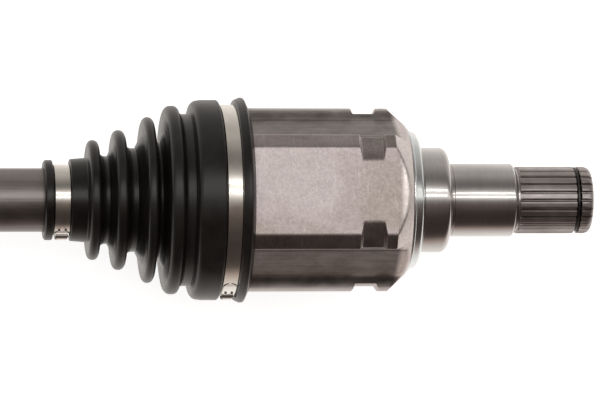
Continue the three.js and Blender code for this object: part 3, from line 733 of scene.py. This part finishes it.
def dust_shield():
    outline = [
        (232.5, 21.9), (232.5, 29.5, 0.3), (233.3, 29.8, 0.3), (233.6, 28.9, 0.3), (236.5, 27.9, 1.8),
        (237.7, 25.2, 1.5), (237.7, 21.9),
    ]
    piece("inboard_dust_shield_ring", [ring_solid(outline, 192)], FINISH["zinc_plate"],
          "inboard_joint_body", ["inboard_dust_shield"])


def axle_bar():
    piece("axle_bar_shaft", [turned(BAR_OUTLINE, 128, spacing=6)], FINISH["bar_steel"], "shaft",
          ["axle_bar"])


# ---------------------------------------------------------------- outboard housing


def socket_radius(x, r, phi):
    """The bell's hollow: a turned socket of radius r with six curved ball grooves sunk into it."""
    along = x - OUTER_X
    radius = np.full(phi.shape, float(r))
    if abs(along) >= GROOVE_REACH:
        return radius
    off = np.abs(angle_from(phi, np.round(phi * BALLS / TURN) * TURN / BALLS))
    start = math.sqrt(BALL_PITCH_R**2 - along**2) / np.cos(off)
    low = start
    high = low + 2 * GROOVE_R
    for _ in range(24):  # halves the range that holds the groove's wall
        middle = (low + high) / 2
        from_path = np.hypot(np.hypot(along, middle * np.cos(off)) - BALL_PITCH_R, middle * np.sin(off))
        low = np.where(from_path < GROOVE_R, middle, low)
        high = np.where(from_path < GROOVE_R, high, middle)
    in_groove = start * np.sin(off) < GROOVE_R
    return np.where(in_groove, np.maximum(radius, low), radius)


def outboard_housing():
    """The bell with its ball grooves, and the splined and threaded stub."""
    x = OUTER_X
    bowl = [
        (x + 14, 37.0), (x + 14, 39.0, 0.5), (x + 13, 39.6, 0.5), (x + 0.6, 39.6, 0.4), (x - 0.2, 43.0, 0.3),
        (x - 0.8, 43.5, 0.4), (x - 12, 43.5, 3.0), (x - 20, 41.0, 6.0), (x - 27.5, 34.5, 7.0),
        (x - 33, 27.2, 5.0), (x - 38.5, 24.4, 2.0), (x - 43.4, 24.0, 0.4), (x - 44, 23.3, 0.3),
        (x - 44, 16.4, 0.3), (x - 45.6, 14.6, 1.0), (x - 47, 13.0), (x - 47, 0),
    ]
    segments = 360
    sphere = [(x + a, math.sqrt(SOCKET_R**2 - a * a)) for a in np.linspace(-26, 10.4, 34)]
    socket = rings([(x - 26, AXIS_R), *sphere, (x + 14, 31.5)], segments, socket_radius)
    outside = [(a, max(r, AXIS_R)) for a, r in rounded(bowl)]
    body = skin(np.concatenate([socket, rings(stations(outside, 3.0), segments)]))
    piece("outboard_bell", [body], FINISH["cone_steel"], "outboard_joint_body",
          ["outboard_housing"])
    piece("outboard_stub_spline", [splined_end(OUTER_SPLINE)], FINISH["spline_steel"],
          "outboard_joint_body", ["outboard_housing"])
    piece("outboard_stub_thread", [thread()], FINISH["ground_steel"], "outboard_joint_body",
          ["outboard_housing"])


def thread():
    """A real helical thread: the crest's place goes round with phi by one pitch each turn."""
    t = THREAD
    towards = math.copysign(1, t["end"] - t["start"])
    length = abs(t["end"] - t["start"])
    segments = 96
    phi = angles(segments)
    neck = [(t["start"] + 4, BURIED_R), (t["start"] + 3, t["neck_r"]), (t["start"], t["neck_r"])]
    rows = list(rings(neck, segments))
    step = t["pitch"] / 8
    for i in range(int(length / step) + 1):
        along = i * step
        phase = (along / t["pitch"] + phi / TURN) % 1
        height = np.clip(np.abs(phase - 0.5) * 2.4 - 0.1, 0, 1)
        r = t["root"] + (t["tip"] - t["root"]) * height
        r = t["neck_r"] + (r - t["neck_r"]) * min(1, along / t["fade"])
        free_end = t["tip"] - np.clip(along - (length - t["chamfer"]), 0, 2)
        rows.append(around(t["start"] + towards * along, np.minimum(r, free_end), phi))
    face = [(t["end"], r) for r in (9.6, 8.8, 5.0, 4.2)]
    rows += list(rings([*face, (t["end"] + 3, 2.4), (t["end"] + 7, 0.5)], segments))
    return skin(np.array(rows))


def axle_nut():
    """A flanged hexagon nut with chamfered corners."""
    low, high = (corner.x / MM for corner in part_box("axle_nut"))
    flat_r = 16.0
    flange_r = 17.5
    bore_r = 12.2
    corner_r = flat_r / math.cos(TURN / 12)
    segments = 192

    def hexagon(x, r, phi):
        from_face = np.abs(((phi + TURN / 12) % (TURN / 6)) - TURN / 12)
        return softer_min(np.full(phi.shape, float(r)), flat_r / np.cos(from_face), 0.25)

    outline = rounded([
        (low + 0.5, 13.4), (low, 14.6, 0.4), (low, 15.2, 0.4), (low + 1.6, corner_r + 0.1, 1.0),
        (high - 1.8, corner_r + 0.1, 0.5), (high - 1.8, corner_r + 0.3),
    ])
    flange = rounded([
        (high - 1.7, flange_r - 0.4, 0.3), (high - 1.2, flange_r, 0.3), (high - 0.2, flange_r, 0.2),
        (high, flange_r - 0.6, 0.2), (high, 12.9), (high - 0.8, bore_r),
    ])
    bore = [(low + 0.8, bore_r)]
    rows = [rings(outline[:-1], segments, hexagon), rings(flange, segments), rings(bore, segments)]
    body = skin(np.concatenate(rows), closed=True)
    piece("axle_hub_nut", [body], FINISH["nut_steel"], "outboard_joint_body", ["axle_nut"])


# ---------------------------------------------------------------- boots


def boot_outline(boot):
    """The outside of a boot from its small lip to its large rim, as smooth folds between plain cuffs."""
    lip_start, lip_end, lip_r = boot["lip"]
    s = math.copysign(1, lip_end - lip_start)
    seat_end, seat_r = boot["seat"]
    _, neck_low, neck_high = boot["neck"]
    points = [
        (lip_start, BOOT_BORE), (lip_start, lip_r - 0.9, 0.5), (lip_start + s * 0.7, lip_r, 0.7),
        (lip_end - s * 0.4, lip_r, 0.6), (lip_end, seat_r, 0.3), (seat_end, seat_r, 0.3),
        (seat_end, neck_low, 0.5),
        (boot["folds"][0][0] - s * (boot["half_widths"][0] + FLANK_LEAN), neck_high, 0.8),
    ]
    folds = boot["folds"]
    halves = boot["half_widths"]
    for i, ((rib_x, rib_r, _, valley_r), half) in enumerate(zip(folds, halves)):
        before = folds[i - 1][3] if i else neck_high
        if i:
            points.append((rib_x - s * (half + FLANK_LEAN), before, VALLEY_ROUND))
        points += [(rib_x - s * half, rib_r, half), (rib_x + s * half, rib_r, half),
                   (rib_x + s * (half + FLANK_LEAN), valley_r, VALLEY_ROUND)]
    body_x, body_r = boot["body"]
    band_start, band_end, band_r = boot["band"]
    rim_x, rim_r = boot["rim"]
    end_x, end_r = boot["end"]
    points += [
        (body_x - s * 0.9, folds[-1][3], 0.9), (body_x - s * 0.2, body_r - 0.6, 3.0),
        (body_x + s * 4.2, body_r, 2.5), (band_start - s * 0.6, body_r, 0.9),
        (band_start, band_r + 0.2, 0.4), (band_start + s * 0.3, band_r, 0.2),
        (band_end - s * 0.2, band_r, 0.3), (band_end, rim_r - 1.0, 0.7), (rim_x - s * 1.2, rim_r, 0.7),
        (rim_x, rim_r, 0.8), (end_x, end_r, 0.5),
    ]
    return points


def boot_inside(boot):
    """The hollow from the large end back to the small lip."""
    lip_start, lip_end, _ = boot["lip"]
    s = math.copysign(1, lip_end - lip_start)
    seat_end, _ = boot["seat"]
    end_x, _ = boot["end"]
    step_x = boot["mouth"] + s * 0.4
    points = [(end_x, boot["bore"], 0.3), (step_x, boot["bore"], 0.3), (step_x, boot["mouth_r"], 0.5),
              (boot["body"][0] + s * 2, boot["mouth_r"] + 1, 1.0)]
    for rib_x, rib_r, valley_x, valley_r in reversed(boot["folds"]):
        points += [(valley_x, valley_r - RUBBER, 1.2), (rib_x, rib_r - RUBBER - 0.4, 1.5)]
    points += [(boot["neck"][0], BOOT_BORE + 0.1, 0.5), (seat_end, BOOT_BORE, 0.3),
               (seat_end - s * 0.8, GROOVE_BORE, 0.3), (lip_end + s * 0.2, GROOVE_BORE, 0.3),
               (lip_end - s * 1.0, BOOT_BORE, 0.3)]
    return points


def whole_boot(boot):
    """A boot as one closed shell."""
    return skin(rings(rounded([*boot_outline(boot), *boot_inside(boot)], 6), 192), closed=True)


def inboard_boot():
    """Two pieces that meet in the last valley: the cuff on the housing and the bellows."""
    boot = INBOARD_BOOT
    outside = boot_outline(boot)
    inside = boot_inside(boot)
    _, _, seam_x, seam_r = boot["folds"][-1]
    seam_out = max(i for i, p in enumerate(outside) if p[0] < seam_x) + 1
    seam_in = next(i for i, p in enumerate(inside) if abs(p[0] - seam_x) < 1e-6)
    outer = (seam_x, seam_r)
    inner = (seam_x, inside[seam_in][1])
    clearance = 0.25

    def seat(x, r, phi):
        return tulip_radius(x, r, phi) + clearance

    segments = 360
    body_x = boot["body"][0]
    inner_r = boot["mouth_r"] + 1
    cuff_out = rounded([inner, outer, *outside[seam_out:]], 6)
    seat_r = SEAT_R + 0.3
    bore = [(boot["end"][0], BODY_R), (SEAT_END + 0.2, BODY_R), (SEAT_END - 0.4, seat_r),
            (MOUTH_X - 0.2, seat_r)]
    back = [(MOUTH_X - 0.3, inner_r), (body_x + 2, inner_r), (body_x + 0.2, 33.0)]
    rows = [rings(cuff_out, segments), rings(bore, segments, seat), rings(back, segments)]
    cuff = skin(np.concatenate(rows), closed=True)
    cuff_piece = piece("inboard_boot_cuff", [cuff], FINISH["boot_rubber"], None,
                       ["inboard_boot"])
    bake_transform(cuff_piece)
    line = rounded([*outside[:seam_out], outer, inner, *inside[seam_in + 1:]], 6)
    bellows = skin(rings(line, 192), closed=True)
    bellows_piece = piece("inboard_boot_bellows", [bellows], FINISH["boot_rubber"], None,
                          ["inboard_boot"])
    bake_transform(bellows_piece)


def outboard_boot():
    """One piece."""
    obj = piece("outboard_boot_bellows", [whole_boot(OUTBOARD_BOOT)], FINISH["boot_rubber"],
                None, ["outboard_boot"])
    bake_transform(obj)


# ---------------------------------------------------------------- clamps

BAND_THICK = 0.55
TAIL_THICK = 0.42
EAR_RISE = 1.5
HOOK_RISE = 0.75
# Round a clamp, the ear's middle and the tail's length before it are angles, and the rest is in millimetres.
EAR_PHI = math.pi / 2
TAIL_START = math.radians(24)
TAIL_END = 9
EAR_HALF = 2.6
HOOK_STARTS = (-8.5, 4.4)
HOOK_LENGTH = 2.4
HOOK_OFFSET = 0.42  # to each side of the band's middle, as a share of its half width


def plate(mid, half_width, reach, low, high, steps=24):
    """A plate round the axle over the angles of reach. Its half width and radii are functions of t."""
    rows = []
    for k in range(steps + 1):
        t = k / steps
        phi = reach[0] + (reach[1] - reach[0]) * t
        half = half_width(t)
        soft = min(0.12, half / 3)
        across = np.array([-half, half, half, half - soft, soft - half, -half])
        r = np.array([low(t), low(t), high(t) - soft, high(t), high(t), high(t) - soft])
        rows.append(around(mid + across, r, phi))
    return skin(np.array(rows))


def band_clamp(name, node, body):
    """A stainless band: a hoop, its overlapping tail with a round end, four hooks and a crimped ear."""
    low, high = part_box(node)
    x0 = low.x / MM
    x1 = high.x / MM
    mid = (x0 + x1) / 2
    half = (x1 - x0) / 2
    top = high.z / MM
    inner = top - BAND_THICK
    per_mm = 1 / top
    hoop = ring_solid([
        (x0, inner), (x0, top - 0.05, 0.15), (x0 + 0.2, top, 0.15), (x1 - 0.2, top, 0.15),
        (x1, top - 0.05, 0.15), (x1, inner),
    ], 192, 3)

    def tail_half(t):
        share = min(1, t / 0.12)
        return max(0.3, (half - 0.2) * math.sqrt(1 - (1 - share) ** 2))

    def tail_top(t):
        return top + TAIL_THICK * min(1, 0.35 + t * 8)

    def ear_half(t):
        return half - 0.55 - 0.9 * math.sin(math.pi * t) ** 2

    def ear_top(t):
        return top + TAIL_THICK + EAR_RISE * math.sqrt(math.sin(math.pi * t))

    def ear_under(t):
        return max(top + 0.1, ear_top(t) - BAND_THICK)

    def hook_top(t):
        return top + TAIL_THICK + HOOK_RISE * math.sin(math.pi * t)

    tail_reach = (EAR_PHI - TAIL_START, EAR_PHI + TAIL_END * per_mm)
    ear_reach = (EAR_PHI - EAR_HALF * per_mm, EAR_PHI + EAR_HALF * per_mm)
    parts = [
        hoop,
        plate(mid, tail_half, tail_reach, lambda t: top - 0.1, tail_top, 48),
        plate(mid, ear_half, ear_reach, ear_under, ear_top, 32),
    ]
    for side in (-1, 1):
        for hook_start in HOOK_STARTS:
            centre = mid + side * HOOK_OFFSET * half
            start = EAR_PHI + hook_start * per_mm
            reach = (start, start + HOOK_LENGTH * per_mm)
            parts.append(plate(centre, lambda t: 0.5, reach, lambda t: top + 0.2, hook_top, 14))
    piece(name, parts, FINISH["clamp_steel"], body, [node])


# ---------------------------------------------------------------- CAD nodes that stay


def finish_cad_nodes():
    """The joints' inner pieces keep their CAD shape and get a ground or sprung steel."""
    for name, node in frame["nodes"].items():
        if node.hide_render:
            continue
        kind = "spring_steel" if "circlip" in name else "hardened_steel"
        node.data.materials.clear()
        node.data.materials.append(FINISH[kind])


# ---------------------------------------------------------------- stage

CAMERA_TARGET = Vector((0.1895, 0, 0))
CAMERA_DISTANCE = 1.726
CAMERA_YAW = math.radians(7.44)
CAMERA_TILT = math.radians(6.4)
FOCAL_MM = 252
SENSOR_MM = 36
STRIP_AIM = Vector((0.15, 0, 0))
STRIP_LENGTH = 2.4
STRIP_WIDTH = 0.02
STRIP_WATTS = 1.4


def camera():
    """The photographed view: from almost straight above, with the inboard stub turned slightly away."""
    away = Vector((math.sin(CAMERA_YAW), math.cos(CAMERA_YAW) * math.sin(CAMERA_TILT),
                   -math.cos(CAMERA_YAW) * math.cos(CAMERA_TILT)))
    data = bpy.data.cameras.new("camera")
    data.lens = FOCAL_MM
    data.sensor_width = SENSOR_MM
    data.clip_end = 10
    obj = bpy.data.objects.new("camera", data)
    bpy.context.scene.collection.objects.link(obj)
    obj.location = CAMERA_TARGET - CAMERA_DISTANCE * away
    right = Vector((math.cos(CAMERA_YAW), -math.sin(CAMERA_YAW) * math.sin(CAMERA_TILT),
                    math.sin(CAMERA_YAW) * math.cos(CAMERA_TILT)))
    up = right.cross(away)
    obj.rotation_euler = Matrix((right, up, -away)).transposed().to_euler()
    bpy.context.scene.camera = obj


def strip_light(name, place):
    """A long thin lamp above the axle, which draws the bright line along each round part."""
    data = bpy.data.lights.new(name, "AREA")
    data.shape = "RECTANGLE"
    data.size = STRIP_LENGTH
    data.size_y = STRIP_WIDTH
    data.energy = STRIP_WATTS
    obj = bpy.data.objects.new(name, data)
    bpy.context.scene.collection.objects.link(obj)
    obj.location = place
    obj.rotation_euler = (STRIP_AIM - Vector(place)).to_track_quat("-Z", "Y").to_euler()


def floor():
    """White paper just under the axle, lit enough to vanish, and unseen in the steel."""
    mesh = bpy.data.meshes.new("floor")
    gap = 0.0005
    z = CAD_BOX[0][2] - gap
    size = 6.0
    corners = [(-size, -size, z), (size, -size, z), (size, size, z), (-size, size, z)]
    mesh.from_pydata(corners, [], [(0, 1, 2, 3)])
    obj = bpy.data.objects.new("floor", mesh)
    bpy.context.scene.collection.objects.link(obj)
    n = Nodes("floor_paper")
    tone = n.noise((2, 2, 2), detail=2.0)
    n.finish(n.ramp(tone, [(0.3, (0.90, 0.90, 0.90)), (0.7, (0.93, 0.93, 0.93))]), 0.9, metallic=0.0)
    n.shader.inputs["Emission Color"].default_value = (1, 1, 1, 1)
    n.shader.inputs["Emission Strength"].default_value = 0.85
    mesh.materials.append(n.material)
    obj.visible_glossy = False


ROOM = [  # degrees from straight up towards +Y, and the brightness there
    (-180, 1.0), (-146, 0.95), (-126, 0.72), (-112, 0.50), (-103, 0.26), (-95, 0.10), (-84, 0.055),
    (-62, 0.045), (-45, 0.055), (-34, 0.085), (-24, 0.12), (-15, 0.18), (-8, 0.30), (-3, 0.65),
    (3, 1.15), (9, 0.75), (15, 1.15), (21, 0.66), (27, 0.34), (36, 0.20), (44, 0.18), (55, 0.24),
    (66, 0.33), (78, 0.43), (95, 0.48), (118, 0.68), (141, 0.9), (180, 1.0),
]
BROWN_TINT = (1.0, 0.80, 0.72)
WARM_TINT = (1.0, 0.95, 0.905)
CREAM_TINT = (1.0, 0.94, 0.89)


def room_tint(degrees):
    """Brown in the dark part, cream in the grey part towards +Y, and a warm white elsewhere."""
    if -120 < degrees < -12:
        return BROWN_TINT
    if 22 <= degrees <= 78:
        return CREAM_TINT
    return WARM_TINT


def world():
    """A soft room that the steel mirrors: bright overhead and below, grey towards +Y, dark towards -Y.

    The camera itself sees plain white behind the axle.
    """
    data = bpy.data.worlds.new("studio")
    bpy.context.scene.world = data
    data.use_nodes = True
    tree = data.node_tree
    background = tree.nodes["Background"]
    place = tree.nodes.new("ShaderNodeTexCoord")
    split = tree.nodes.new("ShaderNodeSeparateXYZ")
    tree.links.new(place.outputs["Generated"], split.inputs[0])
    angle = tree.nodes.new("ShaderNodeMath")
    angle.operation = "ARCTAN2"
    tree.links.new(split.outputs["Y"], angle.inputs[0])
    tree.links.new(split.outputs["Z"], angle.inputs[1])
    share = tree.nodes.new("ShaderNodeMapRange")
    share.inputs["From Min"].default_value = -math.pi
    share.inputs["From Max"].default_value = math.pi
    tree.links.new(angle.outputs[0], share.inputs["Value"])
    ramp = tree.nodes.new("ShaderNodeValToRGB")
    elements = ramp.color_ramp.elements
    while len(elements) < len(ROOM):
        elements.new(0.5)
    for element, (degrees, light) in zip(elements, ROOM):
        element.position = (degrees + 180) / 360
        element.color = (*(light * t for t in room_tint(degrees)), 1)
    tree.links.new(share.outputs["Result"], ramp.inputs["Fac"])
    seen = tree.nodes.new("ShaderNodeMix")
    seen.data_type = "RGBA"
    seen.inputs[7].default_value = (1, 1, 1, 1)
    tree.links.new(tree.nodes.new("ShaderNodeLightPath").outputs["Is Camera Ray"], seen.inputs[0])
    tree.links.new(ramp.outputs["Color"], seen.inputs[6])
    tree.links.new(seen.outputs[2], background.inputs["Color"])


def stage():
    """The camera, the paper, the room and the lamps."""
    camera()
    floor()
    world()
    strip_light("strip_near", (0.15, 0.10, 1.55))
    strip_light("strip_far", (0.15, 0.40, 1.50))
    view = bpy.context.scene.view_settings
    view.view_transform = "Standard"
    view.look = "None"


# ---------------------------------------------------------------- build

inboard_housing()
inboard_stub()
stub_circlip()
dust_shield()
axle_bar()
outboard_housing()
axle_nut()
inboard_boot()
outboard_boot()
band_clamp("inboard_large_band", "inboard_boot_clamp_large", "inboard_joint_body")
band_clamp("inboard_small_band", "inboard_boot_clamp_small", "shaft")
band_clamp("outboard_large_band", "outboard_boot_clamp_large", "outboard_joint_body")
band_clamp("outboard_small_band", "outboard_boot_clamp_small", "shaft")
finish_cad_nodes()
stage()
